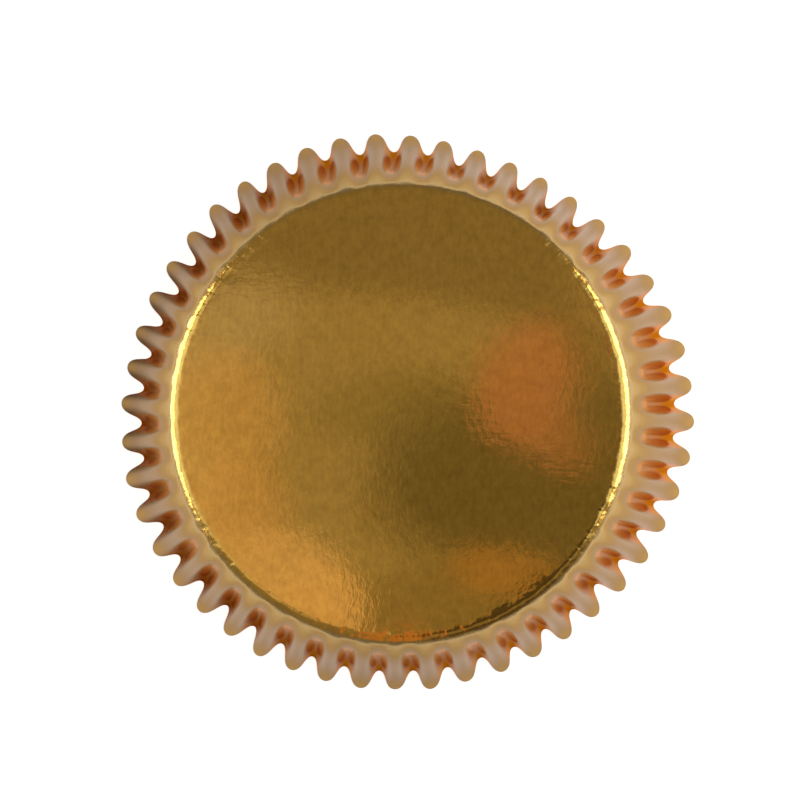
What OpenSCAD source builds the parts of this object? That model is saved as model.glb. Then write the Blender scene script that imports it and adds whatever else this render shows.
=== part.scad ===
// Fluted baking case for one cupcake, pressed from a single disc of foil-faced paper.
// It stands on its rim with the mouth down, so the flat base is on top.
// The origin is the centre of the rim plane and +Z points up to the base.
// Paper doesn't stretch, so the flutes take up what the disc has over the cup's girth.

/* [Base] */
// Diameter of the base over its rounded crease
base_d = 50; // [40:0.5:60]
// Radius of the crease between the base and the wall
crease_r = 1; // [0.4:0.1:2]

/* [Wall] */
// Height from the rim plane to the outside of the base
height = 32; // [20:0.5:50]
// Mean diameter of the rim over the crests of the flutes
rim_d = 70; // [62:0.5:90]
// How much longer than wide the rim has been pressed
rim_oval = 2; // [0:0.1:4]
// How far the wall swells out just below the crease
shoulder = 1; // [0:0.1:1.5]
// How far the wall curls out near the rim
lip = 1.1; // [0:0.1:2.5]

/* [Flutes] */
// Number of flutes round the wall
flutes = 48; // [36:2:60]
// Depth of a flute at the rim, from crest to groove
flute_depth = 2.7; // [1.5:0.1:3.6]
// How fast a flute deepens away from the base, 1 being evenly and less being sooner
flute_growth = 0.7; // [0.5:0.01:1.2]
// How far past the flat base the flutes start
flute_start = 0.9; // [0:0.1:1.5]
// Share of the pitch by which a crest is wider than a groove on each side, at the rim
crest_widening = 0.035; // [0:0.005:0.06]
// Share of the pitch by which the flanks of a flute are steeper than a sine wave
flank_steepening = 0.028; // [0:0.004:0.06]
// How much higher the rim is at a crest than in a groove
rim_wave = 0.6; // [0:0.1:1.5]

/* [Sheet] */
// Thickness of the foil-faced paper
sheet = 0.1; // [0.06:0.01:0.2]

/* [Hidden] */

// Points along one flute and round the whole wall
flute_points = 8;
round_points = round(flutes * flute_points);
// Bands of facets across the crease and down the flare
crease_bands = 2;
flare_bands = 4;
// Rings from the edge of the flat base to the rim
last_ring = round(crease_bands + flare_bands);
rings = last_ring + 1;
// Angle from one crest to the next
pitch_angle = 360 / flutes;
// Radius of the mid-line of the flutes at the rim
rim_mid_r = (rim_d - flute_depth) / 2;
// Heights over which the shoulder and the lip come to most of their size
shoulder_drop = 3;
lip_rise = 3.6;
// Slope of the wall apart from its shoulder and lip, as distance out over distance down
plain_slope = (rim_mid_r - base_d / 2 - shoulder - lip) / height;
// The crease turns from the flat base to where the wall leans as its shoulder does
crease_turn = 90 - atan(plain_slope + shoulder / shoulder_drop);
base_flat_r = base_d / 2 - crease_r * sin(crease_turn);
wall_height = height - crease_r * (1 - cos(crease_turn));
// Lengths of the sheet across the crease and down the wall
crease_length = crease_r * crease_turn * PI / 180;
wall_length = norm([rim_mid_r - base_d / 2, wall_height]);
// The oval adds a quarter of the difference in diameter to the radius on the long axis
oval_r = rim_oval / 4;
// Half of the step, in flutes, used to find the direction of a ring
turn_step = 0.01;
// Colour of the foil
foil_gold = [0.80, 0.58, 0.20];

// Radius and height on the crease, whose normal is turned from straight up by this angle
function crease_point(turn) = [
    base_flat_r + crease_r * sin(turn),
    height - crease_r * (1 - cos(turn))
];

// Radius of the wall's mid-line this far below the crease: straight, with a shoulder and a lip
function wall_radius(drop) = base_d / 2
    + (rim_mid_r - base_d / 2 - shoulder - lip) * drop / wall_height
    + shoulder * (1 - exp(-drop / shoulder_drop))
    + lip * exp((drop - wall_height) / lip_rise);

// Angle by which the wall leans out from the vertical there
function wall_lean(drop) = atan(
    plain_slope
    + shoulder / shoulder_drop * exp(-drop / shoulder_drop)
    + lip / lip_rise * exp((drop - wall_height) / lip_rise)
);

// Share of the way down the wall at a ring, with closer rings near the base and the rim
function wall_share(ring) =
    (1 - cos(180 * max(0, ring - crease_bands) / (last_ring - crease_bands))) / 2;
function ring_drop(ring) = wall_height * wall_share(ring);

// Angle of the sheet's normal from straight up at a ring
function ring_turn(ring) = ring < crease_bands
    ? crease_turn * ring / crease_bands
    : 90 - wall_lean(ring_drop(ring));

// Radius and height of the mid-line of the flutes at a ring
function ring_mid(ring) = ring < crease_bands
    ? crease_point(ring_turn(ring))
    : [wall_radius(ring_drop(ring)), wall_height - ring_drop(ring)];

// Length of the sheet from the edge of the flat base to a ring
function ring_reach(ring) = ring < crease_bands
    ? crease_length * ring / crease_bands
    : crease_length + wall_length * wall_share(ring);

// Depth of the flutes at a ring
function ring_depth(ring) = flute_depth * pow(
    max(0, ring_reach(ring) - flute_start) / (crease_length + wall_length - flute_start),
    flute_growth
);

// Direction round the axis of the point that is this many flutes from the first crest
function flute_angle(ring, turns) = pitch_angle * (turns
    + crest_widening * wall_share(ring) * sin(360 * turns)
    + flank_steepening * sin(720 * turns));

// Which way the sheet swings at that point, from 1 on a crest to -1 in a groove
function swing(turns) = cos(360 * turns);

// Distance from the axis of the outer face at that point
function flute_radius(ring, turns) = ring_mid(ring)[0]
    + ring_depth(ring) / 2 * swing(turns)
    + oval_r * wall_share(ring) * cos(2 * flute_angle(ring, turns));

// Height of the outer face at that point, lowest in the grooves at the rim
function flute_height(ring, turns) = ring_mid(ring)[1]
    + rim_wave * wall_share(ring) * (1 + swing(turns)) / 2;

// The outer face at that point, seen along the axis
function outer_xy(ring, turns) = flute_radius(ring, turns)
    * [cos(flute_angle(ring, turns)), sin(flute_angle(ring, turns))];

// Direction square to the ring at that point, pointing out
function ring_normal(ring, turns) =
    let (along = outer_xy(ring, turns + turn_step) - outer_xy(ring, turns - turn_step))
    [along[1], -along[0]] / norm(along);

// The sheet goes in by its thickness along its normal, and at the rim straight across
function inner_step(ring) = ring == last_ring
    ? sheet / sin(ring_turn(ring))
    : sheet * sin(ring_turn(ring));
function inner_drop(ring) = ring == last_ring ? 0 : sheet * cos(ring_turn(ring));

function outer_point(ring, turns) = concat(outer_xy(ring, turns), flute_height(ring, turns));
function inner_point(ring, turns) = concat(
    outer_xy(ring, turns) - inner_step(ring) * ring_normal(ring, turns),
    flute_height(ring, turns) - inner_drop(ring)
);

// How many flutes a point is from the first crest
function step_turns(step) = step * flutes / round_points;

// Places of the points in the list: the outer face, the inner face, then the two centres
function outer_place(ring, step) = ring * round_points + step % round_points;
function inner_place(ring, step) = outer_place(ring + rings, step);
base_centre = 2 * rings * round_points;
floor_centre = base_centre + 1;

// Two triangles that fill the cell between four places
function cell(a, b, c, d) = [[a, b, c], [a, c, d]];

// One closed sheet: outer face, inner face, cut edge of the rim, base and inner floor
module liner() {
    color(foil_gold)
    polyhedron(
        points = concat(
            [for (ring = [0 : last_ring]) for (step = [0 : round_points - 1])
                outer_point(ring, step_turns(step))],
            [for (ring = [0 : last_ring]) for (step = [0 : round_points - 1])
                inner_point(ring, step_turns(step))],
            [[0, 0, height], [0, 0, height - sheet]]
        ),
        faces = concat(
            [for (ring = [0 : last_ring - 1]) for (step = [0 : round_points - 1])
                each cell(
                    outer_place(ring, step), outer_place(ring, step + 1),
                    outer_place(ring + 1, step + 1), outer_place(ring + 1, step)
                )],
            [for (ring = [0 : last_ring - 1]) for (step = [0 : round_points - 1])
                each cell(
                    inner_place(ring, step), inner_place(ring + 1, step),
                    inner_place(ring + 1, step + 1), inner_place(ring, step + 1)
                )],
            [for (step = [0 : round_points - 1])
                each cell(
                    outer_place(last_ring, step), outer_place(last_ring, step + 1),
                    inner_place(last_ring, step + 1), inner_place(last_ring, step)
                )],
            [for (step = [0 : round_points - 1])
                [base_centre, outer_place(0, step + 1), outer_place(0, step)]],
            [for (step = [0 : round_points - 1])
                [floor_centre, inner_place(0, step), inner_place(0, step + 1)]]
        )
    );
}

liner();
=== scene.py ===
"""A fluted foil baking cup, standing on its rim with the mouth down, seen from straight above.

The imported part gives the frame: the height, the rim and the oval come from its box.
The cup is modelled again here as one fine closed sheet, with the small unevenness of pressed paper.
"""

import math

import bpy
import numpy as np
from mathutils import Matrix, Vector


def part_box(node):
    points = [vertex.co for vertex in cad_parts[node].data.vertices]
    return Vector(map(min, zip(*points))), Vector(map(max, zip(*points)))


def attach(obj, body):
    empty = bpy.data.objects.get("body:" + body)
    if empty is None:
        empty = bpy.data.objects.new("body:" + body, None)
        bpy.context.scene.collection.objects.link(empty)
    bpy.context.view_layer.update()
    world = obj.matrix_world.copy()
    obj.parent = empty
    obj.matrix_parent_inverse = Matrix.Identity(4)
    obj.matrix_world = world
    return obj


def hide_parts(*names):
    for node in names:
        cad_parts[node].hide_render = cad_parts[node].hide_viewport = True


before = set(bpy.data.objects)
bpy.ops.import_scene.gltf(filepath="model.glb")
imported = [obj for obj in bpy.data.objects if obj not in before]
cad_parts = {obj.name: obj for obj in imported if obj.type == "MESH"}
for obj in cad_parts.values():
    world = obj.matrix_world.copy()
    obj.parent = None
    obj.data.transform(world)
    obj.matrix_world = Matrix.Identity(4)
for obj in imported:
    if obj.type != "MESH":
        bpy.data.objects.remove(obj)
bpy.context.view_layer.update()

MM = 0.001

# The node's box gives the height and the rim
low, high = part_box("liner")
HEIGHT = high.z
RIM_R = (high.x + high.y) / 2
OVAL_R = (high.x - high.y) / 2

# The pressed sheet, as in the part's source, but with a softer crease and a later start of flutes
BASE_R = 25 * MM
CREASE_R = 1.45 * MM
SHEET = 0.1 * MM
SHOULDER = 1.0 * MM
SHOULDER_DROP = 3.0 * MM
LIP = 1.1 * MM
LIP_RISE = 3.6 * MM
FLUTES = 48
FLUTE_DEPTH = 2.7 * MM
FLUTE_GROWTH = 0.7
FLUTE_START = 1.25 * MM
CREST_WIDENING = 0.035
FLANK_STEEPENING = 0.028
RIM_WAVE = 0.6 * MM

# How finely the sheet is divided
FLUTE_POINTS = 20
BASE_RINGS = (0.15, 0.3, 0.45, 0.6, 0.75, 0.87, 0.94, 0.975, 0.993)
CREASE_BANDS = 8
WALL_BANDS = 24
WALL_CROWDING = 1.4
# A small step down the wall, to find its lean just under the crease
SMALL_DROP = 0.01 * MM
# The angle above which an edge of the sheet is sharp
SHARP_ANGLE = math.radians(60)

# Unevenness of the rim, as (waves round the rim, size, direction of a crest in degrees). The
# waves of the pitch and the lean turn the flutes, so their sizes are in degrees too
ROUND_WAVES = [(1, 0.46 * MM, -3), (3, 0.53 * MM, -7), (4, 0.2 * MM, 18)]
CREST_WAVES = [(0, -0.18 * MM, 0)]
GROOVE_WAVES = [(1, 0.08 * MM, -20), (4, 0.28 * MM, 7)]
PITCH_WAVES = [(1, 0.97, -67), (3, 0.3, -40), (4, 0.2, -40)]
LEAN_WAVES = [(0, 0.16, 0), (2, 0.35, -33)]
# Random unevenness from flute to flute: lengths, then angles in degrees
SEED = 48
START_SCATTER = 0.5 * MM
CREST_SCATTER = 0.12 * MM
GROOVE_SCATTER = 0.2 * MM
EDGE_SCATTER = 0.05 * MM
PITCH_SCATTER = 0.16
LEAN_SCATTER = 0.2
# How fast the base's edge turns uneven and its waves cease: over a twelfth of a flute's length
EDGE_RISE = 12
# Waves in the flat base: their height, their lengths over a radian and their phases, the slant
# and the share of the slanting one, and how far they all lie under the level of the base
BASE_WAVE = 0.012 * MM
WAVE_X = 7 * MM
WAVE_Y = 9 * MM
WAVE_CROSS = 11 * MM
PHASE_X = 1.3
PHASE_Y = -0.4
PHASE_CROSS = 2.1
CROSS_SLANT = 1.6
CROSS_SHARE = 0.8
WAVE_DROP = 1.2

# Where the foil counts as pressed into the wall, as creased and as folded into a groove: the
# first two along the sheet from the edge of the flat base, the third as a share of the flute.
# The mask of the crease would rise to this top, and is cut off at 1
PRESSED_START = 0.5 * MM
PRESSED_WIDTH = 0.6 * MM
CREASE_MIDDLE = 0.75 * MM
CREASE_WIDTH = 0.85 * MM
CREASE_TOP = 1.3
GROOVE_START = 0.08
GROOVE_RISE = 5

# The camera stands straight over the base, at the photograph's scale in pixels per metre, and
# the cup's middle is this many pixels under the image's
CAMERA_ABOVE_BASE = 198 * MM
IMAGE_SIDE = 800
BASE_SCALE = 9357.0
SENSOR = 36.0
CAMERA_ROLL = math.radians(1.4)
IMAGE_DROP = 14
CLIP_START = 0.01


def rim_waves(waves, angle):
    """The sum of a few waves round the rim, each with its size and direction."""
    total = np.zeros_like(angle)
    for count, size, direction in waves:
        total = total + size * np.cos(count * (angle - math.radians(direction)))
    return total


def scatter(rng, turns, crest_size, groove_size):
    """A smooth random offset that has one value on each crest and one in each groove."""
    values = rng.uniform(-1, 1, 2 * FLUTES) * np.tile([crest_size, groove_size], FLUTES)
    place = turns * 2
    before = np.floor(place).astype(int)
    share = place - before
    share = share * share * (3 - 2 * share)
    return values[before % len(values)] * (1 - share) + values[(before + 1) % len(values)] * share


def wall_radius(drop, wall_height):
    """Radius of the wall's mid-line this far under the crease: straight, with a shoulder and a lip."""
    shoulder = SHOULDER * (1 - math.exp(-drop / SHOULDER_DROP))
    lip = LIP * math.exp((drop - wall_height) / LIP_RISE)
    straight = RIM_R - FLUTE_DEPTH / 2 - BASE_R - SHOULDER - LIP
    return BASE_R + shoulder + lip + straight * drop / wall_height


def sheet_rings():
    """Radius and height of each ring from the centre to the rim, and its distance along the sheet."""
    lean = math.atan((wall_radius(SMALL_DROP, HEIGHT) - wall_radius(0, HEIGHT)) / SMALL_DROP)
    turn = math.pi / 2 - lean
    flat_r = BASE_R - CREASE_R * math.sin(turn)
    crease_drop = CREASE_R * (1 - math.cos(turn))
    wall_height = HEIGHT - crease_drop
    flat = [(flat_r * share, HEIGHT) for share in BASE_RINGS]
    crease = []
    for i in range(CREASE_BANDS):
        t = turn * i / CREASE_BANDS
        crease.append((flat_r + CREASE_R * math.sin(t), HEIGHT - CREASE_R * (1 - math.cos(t))))
    wall = []
    for i in range(WALL_BANDS + 1):
        drop = wall_height * (i / WALL_BANDS) ** WALL_CROWDING
        wall.append((wall_radius(drop, wall_height), wall_height - drop))
    rings = np.array(flat + crease + wall)
    steps = np.hypot(np.diff(rings[:, 0]), np.diff(rings[:, 1]))
    reach = rings[0, 0] + np.concatenate([[0.0], np.cumsum(steps)])
    return rings, reach, flat_r


def fluted_sheet():
    """The outer face: its points by ring and step, their places on the blank, and the folds."""
    rng = np.random.default_rng(SEED)
    rings, reach, flat_r = sheet_rings()
    turns = np.arange(FLUTES * FLUTE_POINTS) / FLUTE_POINTS
    pitch = 2 * math.pi / FLUTES
    swing = np.cos(2 * math.pi * turns)

    late_start = FLUTE_START + scatter(rng, turns, START_SCATTER, START_SCATTER)
    fluted = np.clip((reach[:, None] - flat_r - late_start) / (reach[-1] - flat_r - late_start), 0, 1)
    down = np.clip((HEIGHT - rings[:, 1]) / HEIGHT, 0, 1)[:, None]
    plain = pitch * (
        turns
        + CREST_WIDENING * down * np.sin(2 * math.pi * turns)
        + FLANK_STEEPENING * np.sin(4 * math.pi * turns)
    )
    middle = 4 * down * (1 - down)

    crest_lean = np.radians(rim_waves(LEAN_WAVES, plain)) * (1 + swing) / 2
    pitch_drift = np.radians(rim_waves(PITCH_WAVES, plain))
    lean_noise = np.radians(scatter(rng, turns, LEAN_SCATTER, PITCH_SCATTER))
    bend_noise = np.radians(scatter(rng, turns, PITCH_SCATTER, PITCH_SCATTER))
    rim_noise = scatter(rng, turns, CREST_SCATTER, GROOVE_SCATTER)
    belly_noise = scatter(rng, turns, CREST_SCATTER, GROOVE_SCATTER)
    edge_noise = scatter(rng, turns, EDGE_SCATTER, EDGE_SCATTER)

    angle = plain + down * (pitch_drift + lean_noise - crest_lean) + middle * bend_noise
    depth = FLUTE_DEPTH * fluted ** FLUTE_GROWTH
    oval = OVAL_R * np.cos(2 * plain)
    near_edge = np.clip(fluted * EDGE_RISE, 0, 1)
    crest_wave = rim_waves(CREST_WAVES, plain) * (1 + swing) / 2
    groove_wave = rim_waves(GROOVE_WAVES, plain) * (1 - swing) / 2
    radius = (
        rings[:, :1]
        + depth / 2 * swing
        + down * (oval + rim_waves(ROUND_WAVES, plain) + crest_wave + groove_wave + rim_noise)
        + middle * belly_noise / 2
        + near_edge * (1 - down) * edge_noise
    )
    x, y = radius * np.cos(angle), radius * np.sin(angle)
    z = rings[:, 1:2] + RIM_WAVE * down * (1 + swing) / 2 + base_waves(x, y) * (1 - near_edge)
    blank_x = reach[:, None] * np.cos(pitch * turns)
    blank_y = reach[:, None] * np.sin(pitch * turns)
    blank = np.stack([blank_x, blank_y, np.zeros_like(x)], axis=-1)
    past_flat = reach[:, None] - flat_r
    # The groove mask, which places the painted reflection in the grooves
    groove = np.clip((fluted - GROOVE_START) * GROOVE_RISE, 0, 1) * (1 - swing) / 2
    pressed = np.clip((past_flat - PRESSED_START) / PRESSED_WIDTH, 0, 1)
    crease = np.clip(CREASE_TOP - np.abs(past_flat - CREASE_MIDDLE) / CREASE_WIDTH, 0, 1)
    folds = np.stack([pressed + 0 * x, crease + 0 * x, groove], axis=-1)
    return np.stack([x, y, z], axis=-1), blank, folds


def base_waves(x, y):
    """Slight waves in the flat base, at most as high as the crease lets them be."""
    inside = np.clip(1 - (x * x + y * y) / (BASE_R * BASE_R), 0, 1)
    long_wave = np.sin(x / WAVE_X + PHASE_X) * np.cos(y / WAVE_Y + PHASE_Y)
    cross_wave = np.sin((x + CROSS_SLANT * y) / WAVE_CROSS + PHASE_CROSS)
    return BASE_WAVE * inside * (long_wave + CROSS_SHARE * cross_wave - WAVE_DROP)


def outward(points):
    """Unit normals of a closed fan of rings, by central differences."""
    around = np.roll(points, -1, axis=1) - np.roll(points, 1, axis=1)
    down = np.gradient(points, axis=0)
    normal = np.cross(down, around)
    return normal / np.linalg.norm(normal, axis=-1, keepdims=True)


def grid_faces(first, rings, count, flip):
    """Quads of a band of rings whose places start at first."""
    faces = []
    for ring in range(rings - 1):
        for step in range(count):
            after = (step + 1) % count
            a, b = first + ring * count + step, first + ring * count + after
            c, d = b + count, a + count
            faces.append((a, d, c, b) if flip else (a, b, c, d))
    return faces


def build_liner():
    """The cup as one closed mesh: outer face, inner face, cut edge and both centres."""
    outer, blank, folds = fluted_sheet()
    normal = outward(outer)
    # The rim is cut straight across, so both of its edges are at the same height
    normal[-1, :, 2] = 0
    normal[-1] /= np.linalg.norm(normal[-1], axis=-1, keepdims=True)
    inner = outer - SHEET * normal
    rings, count = outer.shape[:2]
    size = rings * count
    centre_z = float(outer[0, :, 2].mean())
    points = np.concatenate([
        outer.reshape(-1, 3), inner.reshape(-1, 3),
        [[0, 0, centre_z], [0, 0, centre_z - SHEET]],
    ])
    flat = np.concatenate([blank.reshape(-1, 3), blank.reshape(-1, 3), np.zeros((2, 3))])
    fold = np.concatenate([folds.reshape(-1, 3), folds.reshape(-1, 3), np.zeros((2, 3))])

    outer_faces = grid_faces(0, rings, count, flip=True)
    outer_faces += [(2 * size, step, (step + 1) % count) for step in range(count)]
    inner_faces = grid_faces(size, rings, count, flip=False)
    inner_faces += [(2 * size + 1, size + (step + 1) % count, size + step) for step in range(count)]
    edge = (rings - 1) * count
    edge_faces = []
    for step in range(count):
        after = (step + 1) % count
        edge_faces.append((edge + step, size + edge + step, size + edge + after, edge + after))

    mesh = bpy.data.meshes.new("liner_sheet")
    mesh.from_pydata(points.tolist(), [], outer_faces + inner_faces + edge_faces)
    mesh.materials.append(foil_material())
    mesh.materials.append(paper_material())
    paper_side = np.zeros(len(mesh.polygons), int)
    paper_side[len(outer_faces):] = 1
    mesh.polygons.foreach_set("material_index", paper_side)
    mesh.attributes.new("blank", "FLOAT_VECTOR", "POINT").data.foreach_set("vector", flat.ravel())
    mesh.attributes.new("fold", "FLOAT_VECTOR", "POINT").data.foreach_set("vector", fold.ravel())
    mesh.shade_smooth()
    mesh.set_sharp_from_angle(angle=SHARP_ANGLE)
    mesh.validate()
    liner = bpy.data.objects.new("foil_liner", mesh)
    bpy.context.scene.collection.objects.link(liner)
    return liner


# The values between which most of a noise lies
NOISE_LOW = 0.3
NOISE_HIGH = 0.7
# Places of the two colours and of the blended one among the sockets of a mix node
MIX_FIRST = 6
MIX_SECOND = 7
MIX_RESULT = 2


class Nodes:
    """A short way to add and link the nodes of one material."""

    def __init__(self, name):
        self.material = bpy.data.materials.new(name)
        self.material.use_nodes = True
        self.tree = self.material.node_tree
        self.shader = self.tree.nodes["Principled BSDF"]
        self.output = self.tree.nodes["Material Output"]

    def add(self, kind, **settings):
        """A new node with these settings."""
        node = self.tree.nodes.new(kind)
        for name, value in settings.items():
            setattr(node, name, value)
        return node

    def link(self, source, target):
        """Join one node's output to another's input."""
        self.tree.links.new(source, target)

    def glow(self):
        """An emission shader that takes the place of the first one."""
        emission = self.add("ShaderNodeEmission")
        self.link(emission.outputs["Emission"], self.output.inputs["Surface"])
        self.tree.nodes.remove(self.shader)
        return emission

    def noise(self, place, stretch, scale, detail, roughness=0.5):
        """Noise in metres of the flat blank, stretched by a factor along each axis."""
        mapping = self.add("ShaderNodeMapping")
        mapping.inputs["Scale"].default_value = stretch
        self.link(place, mapping.inputs["Vector"])
        noise = self.add("ShaderNodeTexNoise")
        noise.inputs["Scale"].default_value = scale
        noise.inputs["Detail"].default_value = detail
        noise.inputs["Roughness"].default_value = roughness
        self.link(mapping.outputs["Vector"], noise.inputs["Vector"])
        return noise.outputs["Fac"]

    def ramp(self, value, stops):
        """The colour that the stops, as (place, colour), have at a value."""
        ramp = self.add("ShaderNodeValToRGB")
        elements = ramp.color_ramp.elements
        while len(elements) < len(stops):
            elements.new(0.5)
        for element, (place, colour) in zip(elements, stops):
            element.position = place
            element.color = (*colour, 1)
        self.link(value, ramp.inputs["Fac"])
        return ramp.outputs["Color"]

    def range(self, value, low_in, high_in, low_out, high_out):
        """The value moved in a straight line from one range to another, and kept inside it."""
        node = self.add("ShaderNodeMapRange")
        node.inputs["From Min"].default_value = low_in
        node.inputs["From Max"].default_value = high_in
        node.inputs["To Min"].default_value = low_out
        node.inputs["To Max"].default_value = high_out
        self.link(value, node.inputs["Value"])
        return node.outputs["Result"]

    def smooth(self, value, low_in, high_in):
        """A soft step from 0 to 1 between two values."""
        node = self.add("ShaderNodeMapRange", interpolation_type="SMOOTHSTEP")
        node.inputs["From Min"].default_value = low_in
        node.inputs["From Max"].default_value = high_in
        self.link(value, node.inputs["Value"])
        return node.outputs["Result"]

    def mix(self, share, first, second):
        """A blend of two colours, each one a socket or a plain colour."""
        node = self.add("ShaderNodeMix", data_type="RGBA")
        self.link(share, node.inputs["Factor"])
        for place, colour in ((MIX_FIRST, first), (MIX_SECOND, second)):
            socket = node.inputs[place]
            if isinstance(colour, tuple):
                socket.default_value = (*colour, 1)
            else:
                self.link(colour, socket)
        return node.outputs[MIX_RESULT]

    def ellipse(self, place, centre, half_size, tilt, soft):
        """1 inside an ellipse and 0 outside it, with this share of its size as a soft edge."""
        mapping = self.add("ShaderNodeMapping", vector_type="TEXTURE")
        mapping.inputs["Location"].default_value = centre
        mapping.inputs["Rotation"].default_value = (0, 0, math.radians(tilt))
        mapping.inputs["Scale"].default_value = half_size
        self.link(place, mapping.inputs["Vector"])
        reach = self.add("ShaderNodeVectorMath", operation="LENGTH")
        self.link(mapping.outputs["Vector"], reach.inputs[0])
        return self.smooth(reach.outputs["Value"], 1 + soft / 2, 1 - soft / 2)

    def multiply(self, first, second):
        """The product of two values, the second one a socket or a plain number."""
        node = self.add("ShaderNodeMath", operation="MULTIPLY")
        self.link(first, node.inputs[0])
        if isinstance(second, float):
            node.inputs[1].default_value = second
        else:
            self.link(second, node.inputs[1])
        return node.outputs["Value"]

    def add_share(self, value, share, start):
        """The start, with this share of a value added."""
        node = self.add("ShaderNodeMath", operation="MULTIPLY_ADD")
        node.inputs[1].default_value = share
        self.link(value, node.inputs[0])
        self.link(start, node.inputs[2])
        return node.outputs["Value"]

    def sum(self, first, second):
        """The sum of two values."""
        node = self.add("ShaderNodeMath", operation="ADD")
        self.link(first, node.inputs[0])
        self.link(second, node.inputs[1])
        return node.outputs["Value"]

    def shade(self, colour, value, amount):
        """The colour made darker and lighter by this share, as the value goes from low to high."""
        node = self.add("ShaderNodeVectorMath", operation="SCALE")
        self.link(colour, node.inputs[0])
        factor = self.range(value, NOISE_LOW, NOISE_HIGH, 1 - amount, 1 + amount)
        self.link(factor, node.inputs["Scale"])
        return node.outputs["Vector"]

    def bump(self, height, distance, before=None):
        """A normal that follows this height, on top of an earlier one if there is one."""
        node = self.add("ShaderNodeBump")
        node.inputs["Distance"].default_value = distance
        self.link(height, node.inputs["Height"])
        if before is not None:
            self.link(before, node.inputs["Normal"])
        return node.outputs["Normal"]


# Colours of the foil: flat, pressed into the wall, and painted reflection in a groove and along its
# bottom line, the deeper orange of light bouncing between its flanks. EDGE is what shows where the
# foil is seen at a glance, and in the grooves that is painted reflection too
FOIL_FLAT = (0.91, 0.475, 0.068)
FOIL_FLAT_PALE = (0.94, 0.50, 0.080)
FOIL_WALL = (0.58, 0.395, 0.175)
FOIL_WALL_PALE = (0.62, 0.42, 0.185)
FOIL_GROOVE_REFLECTION = (0.78, 0.44, 0.205)
FOIL_EDGE = (0.55, 0.43, 0.34)
FOIL_GROOVE_REFLECTION_EDGE = (0.66, 0.38, 0.165)
FOIL_VALLEY_REFLECTION = (0.60, 0.29, 0.10)
FOIL_VALLEY_REFLECTION_EDGE = (0.56, 0.29, 0.11)
# Textures of the foil: (stretch along each axis, scale per metre, detail, roughness if set)
EVEN = (1.0, 1.0, 1.0)
PEEL = ((1.0, 0.7, 1.0), 300, 3)
FIBRES = ((1.0, 0.45, 1.0), 2300, 4)
GRAIN = ((1.0, 0.6, 1.0), 6500, 2)
PATCHES = (EVEN, 90, 3)
MOTTLE = (EVEN, 700, 5, 0.7)
KINKS = (EVEN, 650, 2)
SCRATCHES = ((0.45, 1.2, 1.0), 900, 3)
# How much the fibres and the mottle darken and lighten the foil
FIBRE_SHADE = 0.09
MOTTLE_SHADE = 0.12
WALL_FIBRE_SHADE = 0.04
# Heights of the textures
PEEL_HEIGHT = 0.0045 * MM
KINK_HEIGHT = 0.05 * MM
FIBRE_HEIGHT = 0.004 * MM
GRAIN_HEIGHT = 0.0008 * MM
# Scuffs on the base: (x, y, half width, half depth, tilt, height), in millimetres and degrees
SCUFFS = [
    (-16.5, 13.8, 6.5, 2.6, -12, 0.007),
    (8.6, -0.4, 3.2, 3.6, 30, 0.008),
    (18.2, -6.0, 3.4, 4.6, 35, 0.008),
]
SCUFF_SOFTNESS = 1.0
# Roughness of the flat foil, and what the crease and the wall add to it
SMOOTHEST = 0.035
ROUGHEST = 0.06
CREASE_ROUGHNESS = 0.12
WALL_ROUGHNESS = 0.2
# Values of the groove mask between which the foil takes the painted reflection of a groove and of its
# bottom line
GROOVE_REFLECTION_FADE = (0.22, 0.5)
VALLEY_REFLECTION_FADE = (0.85, 1.0)


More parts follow.
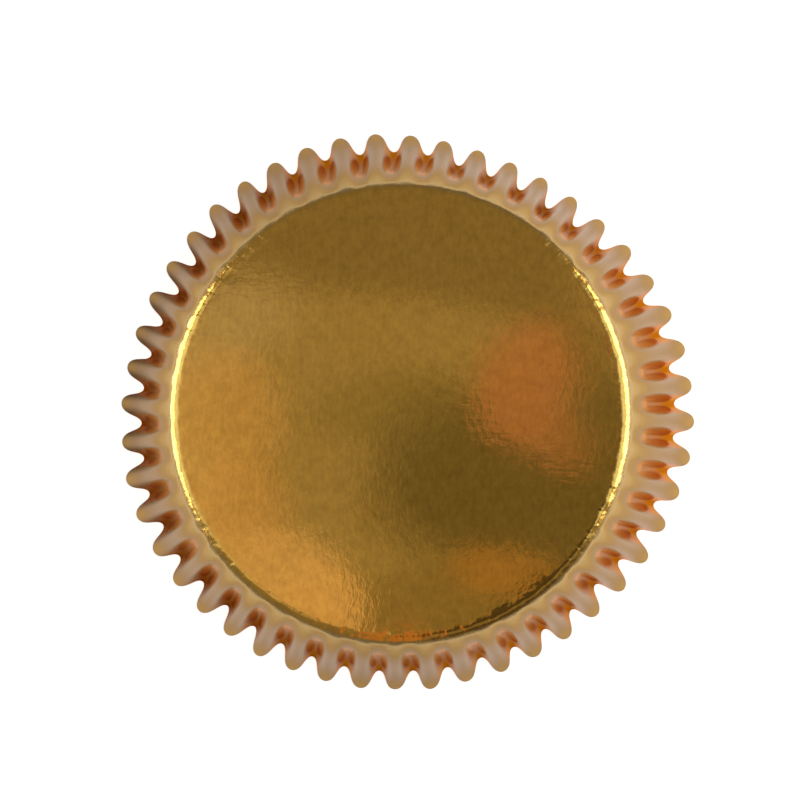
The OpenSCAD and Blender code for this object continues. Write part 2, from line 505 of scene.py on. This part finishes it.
def foil_material():
    """Gold-lacquered foil on paper: the fibres under it show as fine streaks along the sheet."""
    n = Nodes("gold_foil")
    place = n.add("ShaderNodeAttribute", attribute_name="blank").outputs["Vector"]
    fold = n.add("ShaderNodeAttribute", attribute_name="fold").outputs["Vector"]
    parts = n.add("ShaderNodeSeparateXYZ")
    n.link(fold, parts.inputs["Vector"])
    wall, crease, groove = parts.outputs["X"], parts.outputs["Y"], parts.outputs["Z"]

    peel = n.noise(place, *PEEL)
    fibres = n.noise(place, *FIBRES)
    grain = n.noise(place, *GRAIN)
    patches = n.noise(place, *PATCHES)
    mottle = n.noise(place, *MOTTLE)
    folded = n.noise(place, *KINKS)
    scratches = n.noise(place, *SCRATCHES)

    flat = n.ramp(patches, [(NOISE_LOW, FOIL_FLAT), (NOISE_HIGH, FOIL_FLAT_PALE)])
    flat = n.shade(n.shade(flat, fibres, FIBRE_SHADE), mottle, MOTTLE_SHADE)
    pressed = n.ramp(patches, [(NOISE_LOW, FOIL_WALL), (NOISE_HIGH, FOIL_WALL_PALE)])
    pressed = n.shade(pressed, fibres, WALL_FIBRE_SHADE)
    sheet = n.mix(wall, flat, pressed)
    # Painted reflection: grooves and their bottom lines take a deeper orange, as of light bouncing
    # between the flanks
    groove_reflection = n.smooth(groove, *GROOVE_REFLECTION_FADE)
    valley_reflection = n.smooth(groove, *VALLEY_REFLECTION_FADE)
    colour = n.mix(valley_reflection, n.mix(groove_reflection, sheet, FOIL_GROOVE_REFLECTION), FOIL_VALLEY_REFLECTION)
    n.link(colour, n.shader.inputs["Base Color"])
    # The grazing tint in the grooves is painted reflection as well
    edge_colour = n.mix(valley_reflection, n.mix(groove_reflection, FOIL_EDGE, FOIL_GROOVE_REFLECTION_EDGE), FOIL_VALLEY_REFLECTION_EDGE)
    n.link(edge_colour, n.shader.inputs["Specular Tint"])
    n.shader.inputs["Metallic"].default_value = 1.0

    polished = n.range(patches, NOISE_LOW, NOISE_HIGH, SMOOTHEST, ROUGHEST)
    creased = n.add_share(crease, CREASE_ROUGHNESS, polished)
    roughness = n.add_share(wall, WALL_ROUGHNESS, creased)
    n.link(roughness, n.shader.inputs["Roughness"])

    normal = n.bump(peel, PEEL_HEIGHT)
    kinks = n.multiply(n.range(folded, NOISE_LOW, NOISE_HIGH, -0.5, 0.5), crease)
    normal = n.bump(kinks, KINK_HEIGHT, normal)
    for x, y, width, depth, tilt, height in SCUFFS:
        half_size = (width * MM, depth * MM, 1)
        inside = n.ellipse(place, (x * MM, y * MM, 0), half_size, tilt, SCUFF_SOFTNESS)
        normal = n.bump(n.multiply(scratches, inside), height * MM, normal)
    normal = n.bump(fibres, FIBRE_HEIGHT, normal)
    normal = n.bump(grain, GRAIN_HEIGHT, normal)
    n.link(normal, n.shader.inputs["Normal"])
    return n.material


# The paper: its colours, its textures as those of the foil, its roughness and its height
PAPER = (0.78, 0.75, 0.69)
PAPER_PALE = (0.83, 0.81, 0.76)
PAPER_FIBRES = ((1.0, 0.3, 1.0), 1800, 5)
PAPER_CLOUDS = (EVEN, 220, 3)
PAPER_SMOOTHEST = 0.55
PAPER_ROUGHEST = 0.7
PAPER_HEIGHT = 0.008 * MM


def paper_material():
    """White greaseproof paper, the other side of the sheet and its cut edge."""
    n = Nodes("greaseproof_paper")
    place = n.add("ShaderNodeAttribute", attribute_name="blank").outputs["Vector"]
    fibres = n.noise(place, *PAPER_FIBRES)
    clouds = n.noise(place, *PAPER_CLOUDS)
    colour = n.ramp(clouds, [(NOISE_LOW, PAPER), (NOISE_HIGH, PAPER_PALE)])
    roughness = n.range(fibres, NOISE_LOW, NOISE_HIGH, PAPER_SMOOTHEST, PAPER_ROUGHEST)
    n.link(colour, n.shader.inputs["Base Color"])
    n.link(roughness, n.shader.inputs["Roughness"])
    n.link(n.bump(fibres, PAPER_HEIGHT), n.shader.inputs["Normal"])
    return n.material


def stage_quad(name, corners):
    """A rectangle of the stage, with its place in its mesh."""
    mesh = bpy.data.meshes.new(name)
    mesh.from_pydata(corners, [], [(0, 1, 2, 3)])
    obj = bpy.data.objects.new(name, mesh)
    bpy.context.scene.collection.objects.link(obj)
    return obj


def plane(name, width, depth, z):
    """A flat rectangle of the stage round the axis, facing up."""
    x = width / 2
    y = depth / 2
    return stage_quad(name, [(-x, -y, z), (x, -y, z), (x, y, z), (-x, y, z)])


def mirrored_only(obj, material):
    """Give the piece its material, and let only shiny surfaces see it."""
    obj.data.materials.append(material)
    obj.visible_camera = False
    obj.visible_diffuse = False
    obj.visible_shadow = False


# The floor: its side, its colour and its dull surface
FLOOR_SIDE = 3.0
FLOOR_COLOUR = (0.86, 0.86, 0.86)
FLOOR_ROUGHNESS = 0.9
FLOOR_SPECULAR = 0.2
# How much of its white the floor shows to the camera where no lamp reaches it
FLOOR_GLOW = 0.85
# Painted light and shadow on the floor, seen only by the foil: how bright the foil sees the floor,
# from one side of the cup to the other along this direction, and the oval distances from a centre
# over which a painted shadow close round the cup fades into that glow
GLOW_DIRECTION = (0.97, 0.25, 0.0)
MIRRORED_PAINTED_LIGHT = [(0.0, 0.76), (0.375, 0.55), (0.625, 0.68), (1.0, 0.89)]
GLOW_START = 32.6 * MM
GLOW_FULL = 35.6 * MM
GLOW_CENTRE = (-1.0 * MM, 0.0, 0.0)
GLOW_OVAL = (1.0, 1.075, 1.0)


def build_floor():
    """A plain pale floor with the cup's shadow, white to the camera, and to the foil bright with
    painted light that changes from side to side, with a painted shadow close round the cup.
    """
    n = Nodes("pale_floor")
    n.shader.inputs["Base Color"].default_value = (*FLOOR_COLOUR, 1)
    n.shader.inputs["Roughness"].default_value = FLOOR_ROUGHNESS
    n.shader.inputs["Specular IOR Level"].default_value = FLOOR_SPECULAR
    n.shader.inputs["Emission Color"].default_value = (1, 1, 1, 1)
    path = n.add("ShaderNodeLightPath")
    mirrored = n.sum(path.outputs["Is Glossy Ray"], path.outputs["Is Transmission Ray"])
    place = n.add("ShaderNodeNewGeometry").outputs["Position"]
    centred = n.add("ShaderNodeVectorMath", operation="SUBTRACT")
    centred.inputs[1].default_value = GLOW_CENTRE
    n.link(place, centred.inputs[0])
    oval = n.add("ShaderNodeVectorMath", operation="MULTIPLY")
    oval.inputs[1].default_value = GLOW_OVAL
    n.link(centred.outputs["Vector"], oval.inputs[0])
    reach = n.add("ShaderNodeVectorMath", operation="LENGTH")
    n.link(oval.outputs["Vector"], reach.inputs[0])
    along = n.add("ShaderNodeVectorMath", operation="DOT_PRODUCT")
    along.inputs[1].default_value = GLOW_DIRECTION
    n.link(place, along.inputs[0])
    side = n.add("ShaderNodeMath", operation="DIVIDE")
    n.link(along.outputs["Value"], side.inputs[0])
    n.link(reach.outputs["Value"], side.inputs[1])
    # Painted light: the floor's brightness in the foil changes from side to side
    painted_side_light = n.ramp(n.range(side.outputs["Value"], -1, 1, 0, 1),
                     [(at, (level,) * 3) for at, level in MIRRORED_PAINTED_LIGHT])
    # Painted shadow: close round the cup the foil sees the floor dark
    past_painted_shadow = n.smooth(reach.outputs["Value"], GLOW_START, GLOW_FULL)
    painted_floor_light = n.multiply(n.multiply(past_painted_shadow, mirrored), painted_side_light)
    straight_glow = n.range(path.outputs["Is Camera Ray"], 0, 1, 0, FLOOR_GLOW)
    n.link(n.sum(straight_glow, painted_floor_light), n.shader.inputs["Emission Strength"])
    floor = plane("floor", FLOOR_SIDE, FLOOR_SIDE, 0)
    floor.data.materials.append(n.material)


# White lamps: (name, place, width, height, watts, seen in the foil, lights what isn't shiny)
SOFTBOXES = [
    ("right_softbox", (0.43, 0.05, 0.3), 0.4, 0.27, 1.9, True, False),
    ("left_softbox", (-0.43, 0.02, 0.3), 0.4, 0.27, 1.65, True, False),
    ("high_fill", (0.26, 0.0, 0.42), 0.4, 0.5, 0.5, False, True),
]


def softbox(name, place, width, height, power, mirrored, lights_matt):
    """A rectangular lamp that faces the middle of the cup and isn't seen by the camera."""
    lamp = bpy.data.lights.new(name, "AREA")
    lamp.shape = "RECTANGLE"
    lamp.size = width
    lamp.size_y = height
    lamp.energy = power
    obj = bpy.data.objects.new(name, lamp)
    obj.location = place
    aim = Vector((0, 0, HEIGHT / 2)) - Vector(place)
    obj.rotation_euler = aim.to_track_quat("-Z", "Y").to_euler()
    obj.visible_camera = False
    obj.visible_glossy = mirrored
    obj.visible_diffuse = lights_matt
    bpy.context.scene.collection.objects.link(obj)


# Cards: (name, colour, direction and spread in degrees, height of the lower and the upper edge)
DARK_CARD = (0.07, 0.06, 0.05)
ORANGE_CARD = (0.48, 0.26, 0.15)
CARD_DISTANCE = 0.5
CARDS = [
    ("front_card", DARK_CARD, -58, 46, 0.2, 0.55),
    ("back_card", DARK_CARD, 62, 50, 0.03, 0.16),
    ("orange_card", ORANGE_CARD, -90, 18, 0.34, 0.9),
]


def card(name, colour, direction, spread, bottom, top):
    """An upright card that only the foil mirrors, as a thin line along the crease."""
    turn = math.radians(direction)
    half = CARD_DISTANCE * math.tan(math.radians(spread / 2))
    middle = Vector((math.cos(turn), math.sin(turn), 0)) * CARD_DISTANCE
    side = Vector((-math.sin(turn), math.cos(turn), 0)) * half
    start = middle - side
    end = middle + side
    corners = [(start.x, start.y, bottom), (end.x, end.y, bottom), (end.x, end.y, top),
               (start.x, start.y, top)]
    n = Nodes(name)
    emission = n.glow()
    emission.inputs["Color"].default_value = (*colour, 1)
    mirrored_only(stage_quad(name, corners), n.material)


# What the flat base mirrors: soft-edged shapes on a panel over the camera, each laid over the last.
# Place, half width, half depth and edge are in millimetres on the base, and the tilt is in degrees:
# (x, y, half width, half depth, tilt, edge, strength, colour)
CEILING_Z = 0.5
CEILING_WIDTH = 0.76
CEILING_DEPTH = 0.6
CEILING_STRENGTH = 1.07
CEILING_COLOUR = (0.21, 0.205, 0.21)
CEILING_SHAPES = [
    (-3, -9, 37, 22, -5, 3, 1.0, (0.30, 0.30, 0.31)),
    (-37, -9, 16.5, 42, 14, 12, 1.0, (0.56, 0.54, 0.62)),
    (-88, -2, 46, 46, 8, 30, 1.0, (0.85, 1.1, 1.9)),
    (89, 4, 46, 44, 8, 30, 1.0, (0.85, 1.1, 1.9)),
    (-19, 9, 8, 4.5, 35, 5, 0.5, (0.46, 0.50, 0.80)),
    (-18.2, -0.5, 5.2, 7, 10, 3, 0.5, (0.58, 0.48, 0.52)),
    (-17, -10.5, 5, 5, 0, 4, 0.4, (0.66, 0.50, 0.52)),
    (23, 12, 4.5, 7, 10, 4, 0.8, (0.31, 0.29, 0.32)),
    (6, -24, 13, 8, 0, 3, 1.0, (0.225, 0.215, 0.19)),
    (15, -6.3, 18, 10, 8, 5, 1.0, (0.14, 0.14, 0.12)),
    (0.5, 0.8, 10, 4.4, 6, 3, 0.45, (0.17, 0.18, 0.16)),
    (4, -2.2, 7, 5.5, 20, 1.5, 0.35, (0.14, 0.14, 0.12)),
    (19.5, 2, 3.5, 7, 10, 2.5, 0.8, (0.17, 0.17, 0.15)),
    (13.4, 3.6, 4.9, 6.6, -14, 2, 0.9, (0.38, 0.24, 0.27)),
    (16.8, -2.2, 4.0, 2.8, -35, 2, 0.6, (0.36, 0.22, 0.24)),
    (11.5, -16.6, 6.2, 2.6, -4, 0.9, 0.9, (0.32, 0.235, 0.16)),
    (-11.5, -19.2, 8.6, 6.2, -30, 1.8, 0.8, (0.60, 0.52, 0.60)),
    (-8.3, -21.6, 5.2, 5.4, -10, 0.5, 0.5, (0.66, 0.56, 0.62)),
    (1.8, -60.0, 8.0, 37.0, 1, 1.0, 0.9, (0.50, 0.25, 0.14)),
    (30.1, -39.9, 26.8, 26.8, 0, 0.6, 0.9, (0.05, 0.045, 0.04)),
]


def build_ceiling():
    """A dim panel over the camera with the shapes that the flat base mirrors."""
    # A ray from the camera meets the panel this many times as far out as it met the base
    mirror = 1 + (CEILING_Z - HEIGHT) / CAMERA_ABOVE_BASE
    n = Nodes("ceiling_panel")
    place = n.add("ShaderNodeNewGeometry").outputs["Position"]
    total = CEILING_COLOUR
    for x, y, width, depth, tilt, edge, strength, colour in CEILING_SHAPES:
        centre = (x * MM * mirror, y * MM * mirror, CEILING_Z)
        half_size = (width * MM * mirror, depth * MM * mirror, 1)
        inside = n.ellipse(place, centre, half_size, tilt, edge / min(width, depth))
        total = n.mix(n.multiply(inside, strength), total, colour)
    emission = n.glow()
    emission.inputs["Strength"].default_value = CEILING_STRENGTH
    n.link(total, emission.inputs["Color"])
    mirrored_only(plane("ceiling", CEILING_WIDTH, CEILING_DEPTH, CEILING_Z), n.material)


WORLD_GREY = (0.2, 0.2, 0.2)


def build_world():
    """A plain grey room."""
    world = bpy.data.worlds.new("studio")
    bpy.context.scene.world = world
    world.use_nodes = True
    background = world.node_tree.nodes["Background"]
    background.inputs["Color"].default_value = (*WORLD_GREY, 1)
    background.inputs["Strength"].default_value = 1.0


def build_camera():
    """Straight above the base, with the top of the image towards +Y."""
    data = bpy.data.cameras.new("camera")
    data.sensor_width = SENSOR
    data.lens = BASE_SCALE * CAMERA_ABOVE_BASE * SENSOR / IMAGE_SIDE
    data.shift_y = IMAGE_DROP / IMAGE_SIDE
    data.clip_start = CLIP_START
    camera = bpy.data.objects.new("camera", data)
    camera.location = (0, 0, HEIGHT + CAMERA_ABOVE_BASE)
    camera.rotation_euler = (0, 0, CAMERA_ROLL)
    bpy.context.scene.collection.objects.link(camera)
    bpy.context.scene.camera = camera


build_camera()
build_world()
build_floor()
build_ceiling()
for values in SOFTBOXES:
    softbox(*values)
for values in CARDS:
    card(*values)

liner = build_liner()
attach(liner, "root")
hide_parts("liner")

bpy.context.scene.view_settings.view_transform = "Standard"
